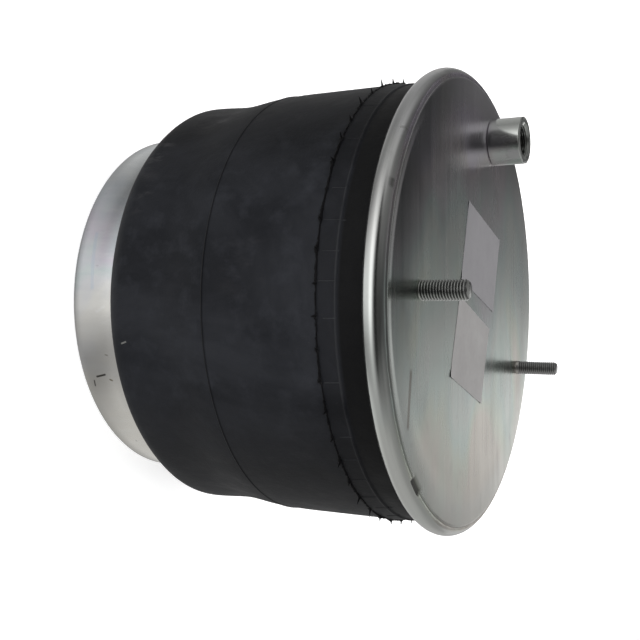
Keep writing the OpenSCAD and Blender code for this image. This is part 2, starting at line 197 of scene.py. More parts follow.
# Material helpers
class Shader:
    """Small builder for a node material around one Principled shader."""

    def __init__(self, name, **sockets):
        self.material = bpy.data.materials.new(name)
        self.material.use_nodes = True
        self.tree = self.material.node_tree
        self.tree.nodes.clear()
        self.out = self.add("OutputMaterial")
        self.bsdf = self.add("BsdfPrincipled")
        self.link(self.bsdf.outputs[0], self.out.inputs[0])
        self.set(**sockets)
        self.coord = self.add("TexCoord").outputs["Object"]

    def add(self, kind, **inputs):
        """New node with values or links on its named inputs."""
        node = self.tree.nodes.new("ShaderNode" + kind)
        for key, value in inputs.items():
            self.put(node.inputs[key.replace("_", " ")], value)
        return node

    def link(self, a, b):
        self.tree.links.new(a, b)

    def put(self, socket, value):
        """Links a socket or sets its value."""
        if isinstance(value, bpy.types.NodeSocket):
            self.link(value, socket)
        elif isinstance(value, tuple) and len(value) == 3 and socket.type == "RGBA":
            socket.default_value = (*value, 1.0)
        else:
            socket.default_value = value

    def set(self, **sockets):
        """Values or links for the Principled shader."""
        for key, value in sockets.items():
            self.put(self.bsdf.inputs[key.replace("_", " ")], value)

    def mapped(self, scale, shift=(0.0, 0.0, 0.0)):
        """Object coordinates, stretched and shifted."""
        return self.add("Mapping", Vector=self.coord, Scale=scale, Location=shift).outputs[0]

    def noise(self, scale, detail=3.0, rough=0.5, vector=None, distortion=0.0):
        node = self.add("TexNoise", Vector=vector or self.coord, Scale=scale, Detail=detail,
                        Roughness=rough, Distortion=distortion)
        return node.outputs["Fac"]

    def ranged(self, value, low, high, to_low=0.0, to_high=1.0, smooth=False):
        """Value from one range brought to another and held at its ends."""
        node = self.add("MapRange", Value=value, From_Min=low, From_Max=high, To_Min=to_low, To_Max=to_high)
        node.clamp = True
        if smooth:
            node.interpolation_type = "SMOOTHSTEP"
        return node.outputs["Result"]

    def math(self, kind, a, b=0.0):
        node = self.add("Math")
        node.operation = kind
        self.put(node.inputs[0], a)
        self.put(node.inputs[1], b)
        return node.outputs[0]

    def plus(self, a, b):
        return self.math("ADD", a, b)

    def minus(self, a, b):
        return self.math("SUBTRACT", a, b)

    def times(self, a, b):
        return self.math("MULTIPLY", a, b)

    def gap(self, a, b):
        """Distance between two values."""
        return self.math("ABSOLUTE", self.minus(a, b))

    def hypot(self, a, b):
        return self.math("SQRT", self.plus(self.times(a, a), self.times(b, b)))

    def mix(self, share, a, b, kind="MIX"):
        node = self.add("Mix")
        node.data_type = "RGBA"
        node.blend_type = kind
        self.put(node.inputs["Factor"], share)
        self.put(node.inputs[6], a)
        self.put(node.inputs[7], b)
        return node.outputs[2]

    def ramp(self, value, stops):
        node = self.add("ValToRGB", Fac=value)
        elements = node.color_ramp.elements
        while len(elements) < len(stops):
            elements.new(0.5)
        for element, (position, colour) in zip(elements, stops):
            element.position = position
            element.color = (*colour, 1.0)
        return node.outputs[0]

    def parts(self):
        """X, Y and Z of the object coordinates."""
        return self.add("SeparateXYZ", Vector=self.coord).outputs

    def azimuth(self):
        """Direction around the part's axis: 0 at -Y, positive towards +X, in radians."""
        x, y, _ = self.parts()
        return self.math("ARCTAN2", x, self.times(y, -1.0))

    def around(self, radius):
        """Length along a circle of the radius, from the -Y side."""
        return self.times(self.azimuth(), radius)

    def stroke(self, a, b, start, end, half):
        """1 on a straight stroke between two points in two coordinates, 0 off it."""
        da, db = end[0] - start[0], end[1] - start[1]
        length = math.hypot(da, db)
        da, db = da / length, db / length
        off_a, off_b = self.minus(a, start[0]), self.minus(b, start[1])
        along = self.plus(self.times(off_a, da), self.times(off_b, db))
        aside = self.minus(self.times(off_a, db), self.times(off_b, da))
        ends = self.times(self.ranged(along, 0.0, half), self.ranged(along, length - half, length, 1.0, 0.0))
        return self.times(ends, self.ranged(self.math("ABSOLUTE", aside), 0.5 * half, half, 1.0, 0.0))

    def marked(self, tone, radius, marks):
        """Tone with straight marks on a round side. Each has two ends, in degrees and millimetres,
        and then its half width, strength and colour."""
        along, z = self.around(m(radius)), self.parts()[2]
        degree = m(radius) * math.pi / 180
        for start, end, half, share, colour in marks:
            ends = [(at * degree, m(height)) for at, height in (start, end)]
            tone = self.mix(self.times(self.stroke(along, z, *ends, m(half)), share), tone, colour)
        return tone

    def attribute(self, name):
        node = self.add("Attribute")
        node.attribute_name = name
        return node.outputs["Fac"]

    def bump(self, height, strength, distance):
        node = self.add("Bump", Height=height, Strength=strength, Distance=distance)
        self.link(node.outputs[0], self.bsdf.inputs["Normal"])


def seen_directly(tree):
    """1 for rays of the camera, of gloss and of glass, 0 for those that light the object."""
    rays = tree.nodes.new("ShaderNodeLightPath").outputs
    share = rays["Is Camera Ray"]
    for kind in ("Is Glossy Ray", "Is Transmission Ray"):
        either = tree.nodes.new("ShaderNodeMath")
        either.operation = "MAXIMUM"
        tree.links.new(share, either.inputs[0])
        tree.links.new(rays[kind], either.inputs[1])
        share = either.outputs[0]
    return share


# Scratch on the plate: its ends and half width in metres
SCRATCH = ((0.0359, -0.1087), (0.0703, -0.1146), 0.0023)


def plate_painted_dark_reflection(s, x, y):
    """Painted dark reflection: darkens the plate towards the crown on the air port's side and ends at the
    rim.
    """
    radius = s.hypot(x, y)
    lit = s.ranged(s.gap(x, -0.005), 0.075, 0.105, 1.0, 0.0)
    past_crown = s.times(s.ranged(radius, 0.1368, 0.1385), lit)
    inside = s.minus(s.ranged(radius, 0.142, 0.1435, 1.0, 0.0), past_crown)
    side = s.times(s.ranged(x, -0.04, 0.075, 0.88, 0.0), s.ranged(y, -0.08, 0.01, 1.0, 0.0))
    return s.times(s.times(s.ranged(radius, 0.086, 0.1365, smooth=True), inside), side)


def zinc_material():
    """Zinc-plated sheet: rolling streaks along X, wide tinted patches, scuffs, a painted dark reflection
    near the crown and painted shade in the rim's hollows.
    """
    s = Shader("zinc_sheet", Metallic=1.0)
    x, y, z = s.parts()
    streak = s.noise(5.0, 6.0, 0.62, s.mapped((1.3, 34.0, 10.0)))
    wide = s.noise(4.0, 3.0, 0.5, s.mapped((1.0, 5.0, 4.0), (3.1, 0.4, 0.0)))
    cloud = s.noise(13.0, 4.0, 0.55)
    patch = s.noise(9.0, 2.0, 0.45, s.mapped((1.0, 1.7, 1.0), (0.0, 5.0, 0.0)), distortion=0.4)
    at = s.plus(s.ranged(x, -m(PLATE_R), m(PLATE_R)), s.times(s.minus(patch, 0.5), 1.3))
    tint = s.ramp(at, (
        (0.05, (0.66, 0.6, 0.7)), (0.18, (0.68, 0.62, 0.65)), (0.32, (0.625, 0.615, 0.635)),
        (0.46, (0.57, 0.65, 0.63)), (0.57, (0.645, 0.685, 0.645)), (0.66, (0.61, 0.695, 0.65)),
        (0.76, (0.66, 0.7, 0.61)), (0.88, (0.7, 0.655, 0.59))))
    face = s.times(s.ranged(z, m(RIDE_H - 1.0), m(RIDE_H - 0.3)),
                   s.ranged(z, m(RIDE_H + 0.02), m(RIDE_H + 0.2), 1.0, 0.4))
    tint = s.mix(s.ranged(face, 0.0, 1.0, 0.2, 1.0), (0.62, 0.635, 0.61), tint)
    tone = s.mix(s.ranged(wide, 0.35, 0.7, 0.0, 0.2), tint, (0.48, 0.49, 0.48))
    tone = s.mix(s.ranged(streak, 0.4, 0.75, 0.0, 0.13), tone, (0.68, 0.685, 0.66))
    spots = s.ranged(s.noise(60.0, 5.0, 0.7), 0.6, 0.75, 0.0, 0.35)
    tone = s.mix(spots, tone, (0.42, 0.41, 0.39))
    blots = s.noise(24.0, 4.0, 0.6, s.mapped((0.7, 1.6, 1.0), (1.0, 2.0, 0.0)))
    tone = s.mix(s.ranged(blots, 0.58, 0.7, 0.0, 0.28), tone, (0.36, 0.35, 0.34))
    # Painted dark reflection over the plate near the crown on the air port's side
    tone = s.mix(plate_painted_dark_reflection(s, x, y), tone, (0.09, 0.095, 0.1))
    tone = s.mix(s.times(s.stroke(x, y, *SCRATCH), 0.8), tone, (0.24, 0.22, 0.19))
    # Painted shade in the crimp's step, tool mark, dent and crown slope, with the seam's own dark mark;
    # rougher there too
    painted_shade_and_seam = s.attribute("painted_shade_and_seam")
    tone = s.mix(s.times(painted_shade_and_seam, 0.85), tone, (0.09, 0.085, 0.08))
    rough = s.plus(s.ranged(streak, 0.3, 0.7, 0.2, 0.28), s.ranged(cloud, 0.35, 0.7, -0.02, 0.05))
    rough = s.minus(rough, s.ranged(face, 0.0, 1.0, 0.05, 0.0))
    s.set(Base_Color=tone, Roughness=s.plus(rough, s.times(painted_shade_and_seam, 0.25)))
    s.bump(s.plus(s.times(streak, 0.6), s.times(cloud, 0.5)), 0.07, 0.0006)
    return s.material


def piston_material():
    """Drawn and plated drum: lengthwise marks, bluish to warm tints and scuffs."""
    s = Shader("drawn_zinc", Metallic=1.0)
    marks = s.noise(30.0, 5.0, 0.6, s.mapped((1.0, 1.0, 0.22)))
    fine = s.noise(160.0, 4.0, 0.6, s.mapped((1.0, 1.0, 0.12)))
    rings = s.noise(7.0, 3.0, 0.5, s.mapped((0.6, 0.6, 60.0)))
    spots = s.noise(75.0, 4.0, 0.7)
    patch = s.noise(16.0, 3.0, 0.5, s.mapped((1.0, 1.0, 0.8), (1.7, 0.0, 0.0)), distortion=0.5)
    at = s.plus(s.ranged(s.parts()[0], -0.12, 0.12), s.minus(patch, 0.5))
    tint = s.ramp(at, (
        (0.1, (0.6, 0.62, 0.62)), (0.26, (0.55, 0.58, 0.61)), (0.34, (0.58, 0.55, 0.61)),
        (0.44, (0.53, 0.585, 0.585)), (0.52, (0.59, 0.595, 0.61)), (0.64, (0.655, 0.645, 0.615)),
        (0.85, (0.7, 0.68, 0.625))))
    tone = s.mix(s.ranged(marks, 0.35, 0.7, 0.0, 0.2), tint, (0.46, 0.47, 0.48))
    tone = s.mix(s.ranged(fine, 0.45, 0.75, 0.0, 0.25), tone, (0.72, 0.72, 0.7))
    tone = s.mix(s.ranged(spots, 0.68, 0.75, 0.0, 0.5), tone, (0.22, 0.22, 0.22))
    tone = s.marked(tone, 120.0, (
        ((23.4, 11.5), (22.7, 19.5), 0.85, 0.95, (0.05, 0.045, 0.04)),
        ((24.4, 9.4), (26.9, 8.6), 0.65, 0.85, (0.08, 0.075, 0.07)),
        ((24.4, 20.5), (25.2, 23.0), 0.75, 0.75, (0.16, 0.13, 0.07)),
        ((16.0, 21.5), (16.6, 24.0), 0.7, 0.45, (0.25, 0.22, 0.18)),
        ((2.9, 18.5), (0.6, 25.5), 1.2, 0.15, (0.8, 0.8, 0.82)),
        ((-23.0, 13.5), (-4.0, 16.5), 1.6, 0.3, (0.42, 0.5, 0.6))))
    rough = s.plus(s.ranged(marks, 0.3, 0.7, 0.17, 0.24), s.ranged(rings, 0.3, 0.7, -0.02, 0.03))
    s.set(Base_Color=tone, Roughness=rough)
    s.bump(s.plus(s.times(fine, 0.4), s.times(rings, 0.3)), 0.07, 0.0005)
    return s.material


def bellows_marks(s, tone, smudge):
    """Scuffs, streaks, mould line, a darker collar, painted shade under the rim and towards both sides, and
    a painted highlight on the ring line, over plain rubber.
    """
    z = s.parts()[2]
    along = s.around(m(LOBE_MAX_R))
    degree = m(LOBE_MAX_R) * math.pi / 180
    scuff = s.ranged(s.noise(210.0, 3.0, 0.7, s.mapped((1.0, 1.0, 0.5))), 0.66, 0.78, 0.0, 0.7)
    worn = s.times(s.ranged(z, 0.15, 0.186, smooth=True),
                   s.ranged(z, m(RIDGE_Z), m(RIDGE_Z + 1.5), 1.0, 0.0))
    tone = s.mix(s.times(scuff, worn), tone, (0.035, 0.035, 0.038))
    # Painted shade: the rubber darkens towards both sides, away from the front
    clean = s.ranged(s.gap(along, -5.0 * degree), 22.0 * degree, 50.0 * degree, 0.0, 0.65)
    tone = s.mix(clean, tone, (0.0018, 0.0018, 0.0022))
    streaks = s.ranged(s.noise(95.0, 4.0, 0.7, s.mapped((1.0, 1.0, 0.35))), 0.5, 0.68)
    for at, wide, low, high, share in (
            (-43.0, 9.0, 46.0, 66.0, 0.75), (-29.0, 7.0, 52.0, 68.0, 0.55),
            (-60.0, 11.0, 66.0, 98.0, 0.35), (-8.0, 10.0, 120.0, 165.0, 0.12),
            (64.0, 15.0, 66.0, 112.0, 0.3), (38.0, 12.0, 140.0, 180.0, 0.1),
            (52.0, 10.0, 40.0, 62.0, 0.22)):
        side = s.ranged(s.gap(along, at * degree), 0.2 * wide * degree, wide * degree, 1.0, 0.0)
        mid, half = m(0.5 * (low + high)), m(0.5 * (high - low))
        level = s.ranged(s.gap(z, mid), 0.3 * half, half, 1.0, 0.0)
        tone = s.mix(s.times(s.times(streaks, share), s.times(side, level)), tone, (0.075, 0.072, 0.075))
    tone = s.marked(tone, LOBE_MAX_R, [((10.1, 53.8), (9.5, 58.2), 0.65, 0.8, (0.22, 0.22, 0.21))])
    mould = s.ranged(s.gap(z, m(MOULD_Z)), 0.0003, 0.0011, 0.68, 0.0)
    tone = s.mix(mould, tone, (0.0016, 0.0016, 0.002))
    tone = s.mix(s.ranged(z, m(COLLAR_Z - 1.0), m(COLLAR_Z), 0.0, 0.45), tone, (0.0025, 0.0025, 0.003))
    # Painted shade in the band under the rim
    painted_shade_under_rim = s.ranged(z, m(RIDGE_Z + 0.5), m(RIDGE_Z + 3.0), 0.0, 0.92, smooth=True)
    tone = s.mix(painted_shade_under_rim, tone, (0.0008, 0.0008, 0.001))
    # Painted highlight along the ring line, broken up by the smudges
    line = s.ranged(s.gap(z, m(RIDGE_Z + 0.1)), 0.0002, 0.0008, 0.8, 0.0)
    return s.mix(s.times(line, s.ranged(smudge, 0.42, 0.58, 0.15, 1.0)), tone, (0.028, 0.029, 0.032))


def rubber_material(name, body, dust, specular, bellows=False):
    """Matte moulded rubber: fine grain, handling smudges and a dusty bloom."""
    s = Shader(name, Specular_IOR_Level=specular, Sheen_Weight=0.02, Sheen_Roughness=0.5)
    grain = s.noise(900.0, 2.0, 0.6)
    mottle = s.noise(75.0, 5.0, 0.62)
    smudge = s.noise(11.0, 5.0, 0.6, s.mapped((1.0, 1.0, 0.7)), distortion=0.6)
    tone = s.mix(s.ranged(smudge, 0.42, 0.64, 0.0, 0.9), body, dust)
    tone = s.mix(s.ranged(mottle, 0.5, 0.8, 0.0, 0.6), tone, tuple(1.5 * c for c in dust))
    if bellows:
        tone = bellows_marks(s, tone, smudge)
    rough = s.plus(s.ranged(smudge, 0.3, 0.7, 0.56, 0.68), s.ranged(mottle, 0.3, 0.7, -0.05, 0.05))
    s.set(Base_Color=tone, Roughness=rough)
    s.bump(s.plus(s.times(grain, 0.25), mottle), 0.38, 0.0009)
    return s.material


def thread_material(name, crest, root, rough, worn):
    """Plated thread, darker and duller in its roots from the mesh's own depth attribute: oxide there
    together with painted shade.
    """
    s = Shader(name, Metallic=1.0)
    depth = s.attribute("root_depth")
    wear = s.noise(420.0, 4.0, 0.6)
    # Darker roots: oxide in the hollows together with painted shade
    tone = s.mix(depth, crest, root)
    tone = s.mix(s.ranged(wear, 0.5, 0.8, 0.0, worn), tone, root)
    dull = s.ranged(wear, 0.3, 0.7, rough, rough + 0.2 * worn)
    s.set(Base_Color=tone, Roughness=s.plus(dull, s.times(depth, 0.15)))
    s.bump(wear, 0.2 * worn, 0.0003)
    return s.material


def turned_material(name, light, dark, rough):
    """Turned and plated steel: fine tool rings and blotches."""
    s = Shader(name, Metallic=1.0)
    rings = s.noise(16.0, 3.0, 0.5, s.mapped((3.0, 3.0, 70.0)))
    cloud = s.noise(90.0, 4.0, 0.6)
    tone = s.mix(s.ranged(cloud, 0.4, 0.7, 0.0, 0.6), light, dark)
    tone = s.mix(s.ranged(rings, 0.4, 0.7, 0.0, 0.25), tone, dark)
    s.set(Base_Color=tone, Roughness=s.ranged(rings, 0.3, 0.7, rough, rough + 0.12))
    s.bump(s.plus(s.times(rings, 0.6), s.times(cloud, 0.3)), 0.12, 0.0004)
    return s.material


def paper_material(name, clean, soiled):
    """Blank coated label: faint fibres, soiled clouds and dull scuffs."""
    s = Shader(name, Specular_IOR_Level=0.45)
    fibre = s.noise(260.0, 4.0, 0.65)
    cloud = s.noise(26.0, 4.0, 0.6)
    tone = s.mix(s.ranged(cloud, 0.35, 0.7, 0.0, 0.6), clean, soiled)
    tone = s.mix(s.ranged(fibre, 0.5, 0.75, 0.0, 0.3), tone, tuple(0.8 * c for c in soiled))
    s.set(Base_Color=tone, Roughness=s.ranged(cloud, 0.3, 0.7, 0.34, 0.5))
    s.bump(s.plus(s.times(fibre, 0.3), cloud), 0.15, 0.0003)
    return s.material


def wire_material():
    """Bronze-coated bead wire, its turns lying side by side."""
    s = Shader("bead_wire", Metallic=1.0)
    turns = s.noise(40.0, 3.0, 0.5, s.mapped((1.0, 1.0, 12.0)))
    tone = s.mix(turns, (0.5, 0.38, 0.2), (0.3, 0.22, 0.12))
    s.set(Base_Color=tone, Roughness=s.ranged(turns, 0.3, 0.7, 0.3, 0.45))
    s.bump(turns, 0.3, 0.0004)
    return s.material


ZINC = zinc_material()
PISTON_ZINC = piston_material()
RUBBER = rubber_material("bellows_rubber", (0.005, 0.006, 0.0088), (0.0225, 0.024, 0.029), 0.2, True)
# The flash's rubber is painted darker than the bellows' as shade under the thin flap; the whiskers share it
SHADED_FLASH_RUBBER = rubber_material("flash_rubber_painted_shade", (0.0018, 0.0018, 0.0021), (0.006, 0.006, 0.0066), 0.08)
RIB_RUBBER = rubber_material("rib_rubber", (0.008, 0.0085, 0.01), (0.038, 0.039, 0.042), 0.16)
BUMP_RUBBER = rubber_material("bump_rubber", (0.01, 0.01, 0.011), (0.024, 0.024, 0.025), 0.25)
STUD_STEEL = thread_material("stud_steel", (0.76, 0.77, 0.74), (0.12, 0.12, 0.12), 0.12, 0.2)
PIN_STEEL = thread_material("pin_steel", (0.78, 0.78, 0.77), (0.26, 0.26, 0.26), 0.24, 0.3)
BOSS_STEEL = turned_material("boss_steel", (0.58, 0.6, 0.58), (0.4, 0.41, 0.41), 0.22)
PORT_STEEL = thread_material("port_steel", (0.68, 0.7, 0.67), (0.1, 0.1, 0.1), 0.13, 0.12)
DARK_STEEL = turned_material("dark_steel", (0.3, 0.3, 0.31), (0.16, 0.16, 0.17), 0.38)
PAPER = paper_material("label_paper", (0.212, 0.207, 0.217), (0.182, 0.178, 0.186))
PAPER_LOW = paper_material("label_paper_low", (0.272, 0.265, 0.262), (0.222, 0.216, 0.213))
WIRE = wire_material()

for material, names in (
        (ZINC, ("top_plate", "piston_base_plate", "bead_clamp_plate")),
        (PISTON_ZINC, ("piston_shell",)),
        (BOSS_STEEL, ("piston_mounting_boss", "bolt_washer", "air_port_boss")),
        (DARK_STEEL, ("clamp_bolt", "weld_nut", "bump_stop_plate", "support_tube")),
        (BUMP_RUBBER, ("bump_stop",)),
        (RUBBER, ("upper_bead", "lower_bead", "bellows_inner_wall", "bellows_collar",
                  "bellows_upper_wall", "bellows_lower_wall", "bellows_lobe")),
        (WIRE, ("upper_bead_core", "lower_bead_core")),
        (STUD_STEEL, ("mounting_stud",)),
        (PIN_STEEL, ("locating_stud",)),
        (PAPER, ("label_upper",)),
        (PAPER_LOW, ("label_lower",))):
    for node in names:
        NODES[node].data.materials.clear()
        NODES[node].data.materials.append(material)


# Bellows
def wall_r(z):
    """Radius of the outer wall at a height, with its waist above the lobe."""
    t = (z - LOBE_Z) / (COLLAR_Z - LOBE_Z)
    waist = WAIST * math.sin(math.pi * min(t / 0.45, 1.0)) ** 2
    return LOBE_MAX_R + (WALL_TOP_R - LOBE_MAX_R) * ease(min(t / 0.6, 1.0)) - waist


def mould_ridge(z):
    """Height of the fine ridge on the mould line."""
    return 0.45 * max(0.0, 1 - ((z - MOULD_Z) / 0.8) ** 2) ** 2


def wall_points():
    """Outer wall from the collar down to the lobe, with close points over the mould line."""
    n = int(round((COLLAR_Z - LOBE_Z) / 2.5))
    heights = {COLLAR_Z + (LOBE_Z - COLLAR_Z) * i / n for i in range(n + 1)}
    heights |= {MOULD_Z + 0.2 * k for k in range(-5, 6)}
    return [(wall_r(z) + mould_ridge(z), z) for z in sorted(heights, reverse=True)]


def waves(phi, z):
    """Soft unevenness of the moulded wall, none at the collar."""
    fade = np.clip((COLLAR_Z - 4.0 - z) / 60.0, 0.0, 1.0)
    low = np.clip((95.0 - z) / 50.0, 0.0, 1.0)
    return (fade * (0.16 * np.sin(3 * phi + 0.7) + 0.1 * np.sin(5 * phi + 2.1 + z / 60.0))
            + low * (0.12 * np.sin(7 * phi + 0.4) + 0.1 * np.sin(11 * phi + 1.9)))


def bellows_skin():
    """Collar, outer wall and lobe as one sleeve."""
    tuck = RING_R - NECK_R
    outer = [(NECK_R, RIM_Z)] + arc((NECK_R, RIM_Z - 0.3 - tuck), tuck, 90, 0, 10)
    outer += [(RING_R, 206.0), (RING_R, 203.0)]
    outer += [(RING_R + out, RIDGE_Z + up) for out, up in (
        (0.0, 1.4), (0.1, 1.0), (0.4, 0.7), (0.95, 0.4), (1.15, 0.0), (0.95, -0.4))]
    outer += [(TAPER_R + 0.05, RIDGE_Z - 0.8), (TAPER_R + 0.18, 198.5), (TAPER_R + 0.54, 195.0)]
    outer += [(FLASH_R - 0.2, COLLAR_Z + 2.0), (FLASH_R, COLLAR_Z + 0.4), (FLASH_R - 0.1, COLLAR_Z)]
    outer += wall_points()
    outer += arc((LOBE_MID_R, LOBE_Z), LOBE_R, 0, -180, 28)[1:]
    outer += [(FLANK_R, INNER_LOW_Z)]
    inner = [(FLANK_R + WALL_T, INNER_LOW_Z)] + arc((LOBE_MID_R, LOBE_Z), LOBE_R - WALL_T, 180, 360, 16)
    inner += [(wall_r(z) - WALL_T, z) for z in np.linspace(60.0, COLLAR_Z, 14)]
    inner += [(NECK_R - 4.2, 205.0), (NECK_R - 4.2, RIM_Z)]

    segs = 720
    radius, z = spun(outer + inner, segs)
    leg = np.clip((radius - FLANK_R - WALL_T) / 8.0, 0.0, 1.0)
    radius = radius + waves(angles(segs), z) * leg
    skin = turned("bellows_skin", radius, z, RUBBER, sharp=60.0)
    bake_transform(skin)
    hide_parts("bellows_collar", "bellows_upper_wall", "bellows_lower_wall", "bellows_lobe")


def bellows_inner_skin():
    """Inner wall of the bellows, up the piston's flank and over its shoulder."""
    heights = (INNER_LOW_Z, 57.0, 60.0, NECK_Z)
    leg_out = [(FLANK_R, z) for z in heights] + arc(SHOULDER, SHOULDER_R, 0, 90, 16)
    leg_in = arc(SHOULDER, SHOULDER_R + WALL_T, 90, 0, 16) + [(FLANK_R + WALL_T, z) for z in heights[::-1]]
    profile = (resample(leg_out, 4.0) + resample(leg_in, 4.0))[::-1]
    inner_skin = turned("bellows_inner_skin", *spun(profile, 240), RUBBER, sharp=60.0)
    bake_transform(inner_skin)
    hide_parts("bellows_inner_wall")


bellows_skin()
bellows_inner_skin()

# Mould flash, vents and ribs
rng = random.Random(7)
FLASH_SEGS = 1500


def uneven(width):
    """Random values around the rim, averaged over a number of neighbours."""
    raw = np.array([rng.random() for _ in range(FLASH_SEGS)])
    return np.convolve(np.tile(raw, 3), np.ones(width) / width, "same")[FLASH_SEGS:2 * FLASH_SEGS]


def vent_share(width):
    """1 at the vents, falling to 0 at a number of degrees from them."""
    a = (np.degrees(angles(FLASH_SEGS)) - VENT_PHASE) % (360.0 / VENTS)
    a = np.minimum(a, 360.0 / VENTS - a)
    return np.clip(1 - a / width, 0, 1)


def vent_angle(k, spread):
    """Direction of a vent, off its place by up to a number of degrees."""
    return math.radians(VENT_PHASE + 360.0 * k / VENTS) + math.radians(rng.uniform(-spread, spread))


def outwards(a):
    """Unit vectors outwards and sideways at a direction."""
    return Vector((math.sin(a), -math.cos(a), 0.0)), Vector((math.cos(a), math.sin(a), 0.0))


def mould_flash():
    """Torn lip of rubber at the collar's lower edge, thicker and longer at the vents."""
    flap = np.clip((uneven(15) - 0.44) * 7, 0, 1)
    jag = 0.3 + 0.5 * uneven(3) + 0.9 * flap * uneven(5) + 0.6 * vent_share(1.0) * uneven(40) * 2
    lift = (uneven(7) - 0.5) * 1.2 + (uneven(25) - 0.5) * 4.2 + (uneven(90) - 0.5) * 5.0
    thick = 0.14 + 0.45 * flap * uneven(9) * 2 + 1.0 * vent_share(1.1) * uneven(40) * 2
    flat = np.ones(FLASH_SEGS)
    radius = [(FLASH_R - 0.1) * flat, FLASH_R + jag * 0.9, FLASH_R + jag, FLASH_R + jag * 0.6,
              (FLASH_R - 0.9) * flat]
    z = [(COLLAR_Z + 0.5) * flat, COLLAR_Z + 0.4 * thick + lift, COLLAR_Z - 0.2 - 0.4 * thick + lift,
         COLLAR_Z - 0.35 - thick + lift, (COLLAR_Z - 0.4) * flat]
    flash = turned("mould_flash", np.stack(radius), np.stack(z), SHADED_FLASH_RUBBER, sharp=30.0)
    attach(flash, "plate")


def tube_faces(first, rings, sides):
    """Faces around rings of points, and the cap of the first ring."""
    faces = [tuple(range(first, first + sides))[::-1]]
    for i in range(rings - 1):
        for j in range(sides):
            p, q = first + i * sides + j, first + i * sides + (j + 1) % sides
            faces.append((p, q, q + sides, p + sides))
    return faces


def spike(verts, faces, a, base_r, base_z, length, radius, bend=0.12):
    """Adds a thin tapered whisker to the lists, outwards at a direction."""
    along, side = outwards(a)
    base = along * base_r + Vector((0, 0, base_z))
    up = along.cross(side)
    rings, sides = 4, 6
    first = len(verts)
    curve = side * rng.uniform(-bend, bend) * length + up * rng.uniform(-bend, bend) * length
    for i in range(rings):
        t = i / rings
        centre = base + along * length * t + curve * t * t
        r = radius * (1 - t) ** 0.8
        for j in range(sides):
            turn = 2 * math.pi * j / sides
            verts.append(tuple(centre + side * math.cos(turn) * r + up * math.sin(turn) * r))
    verts.append(tuple(base + along * length + curve))
    faces += tube_faces(first, rings, sides)
    last = first + (rings - 1) * sides
    faces += [(last + j, last + (j + 1) % sides, last + sides) for j in range(sides)]


def vent_whiskers():
    """Long whisker of rubber at each vent of the mould, with two short ones beside it."""
    verts, faces = [], []
    for k in range(VENTS):
        a = vent_angle(k, 0.25)
        long = rng.uniform(3.9, 6.3) if rng.random() > 0.15 else rng.uniform(1.8, 3.2)
        spike(verts, faces, a, FLASH_R - 0.4, COLLAR_Z - 0.1, long, rng.uniform(0.7, 1.0), 0.09)
        for _ in range(2):
            beside = a + math.radians(rng.uniform(-2.6, 2.6))
            height = COLLAR_Z + rng.uniform(-0.2, 0.3)
            spike(verts, faces, beside, FLASH_R - 0.3, height, rng.uniform(1.0, 2.0), 0.7)
    whiskers = mesh_object("vent_whiskers", verts, faces, SHADED_FLASH_RUBBER, 50.0)
    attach(whiskers, "plate")


def vent_ribs():
    """Fine rib from most vents up over the collar, each of its own length."""
    longest = resample([(FLASH_R, COLLAR_Z + 0.5), (TAPER_R, RIDGE_Z - 0.9), (RING_R + 1.0, RIDGE_Z + 0.1),
                        (RING_R, RIDGE_Z + 1.5), (RING_R, 211.5)], 0.8)
    section = ((-0.3, -0.2), (-0.2, 0.14), (0.0, 0.24), (0.2, 0.14), (0.3, -0.2))
    n = len(section)
    verts, faces = [], []
    for k in range(VENTS):
        if rng.random() < 0.25:
            continue
        out, side = outwards(vent_angle(k, 0.5))
        first = len(verts)
        path = longest[rng.randint(0, 5):len(longest) - rng.randint(9, 15)]
        for i, (r, z) in enumerate(path):
            end = 0.3 if i in (0, len(path) - 1) else 1.0
            for u, v in section:
                verts.append(tuple(out * (r + (v if v < 0 else v * end)) + side * u + Vector((0, 0, z))))
        faces += tube_faces(first, len(path), n)
        faces.append(tuple(range(len(verts) - n, len(verts))))
    ribs = mesh_object("vent_ribs", verts, faces, RIB_RUBBER, 50.0)
    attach(ribs, "plate")


mould_flash()
vent_whiskers()
vent_ribs()


# Piston
def rounded(before, corner, after, r, steps=8):
    """Points of an arc that rounds a corner of a profile."""
    u = (Vector(before) - Vector(corner)).normalized()
    v = (Vector(after) - Vector(corner)).normalized()
    half = u.angle(v) / 2
    mid = Vector(corner) + (u + v).normalized() * (r / math.sin(half))
    first = Vector(corner) + u * (r / math.tan(half)) - mid
    last = Vector(corner) + v * (r / math.tan(half)) - mid
    turn = first.angle_signed(last)
    out = []
    for i in range(steps + 1):
        a = -turn * i / steps
        out.append((mid.x + first.x * math.cos(a) - first.y * math.sin(a),
                    mid.y + first.x * math.sin(a) + first.y * math.cos(a)))
    return out


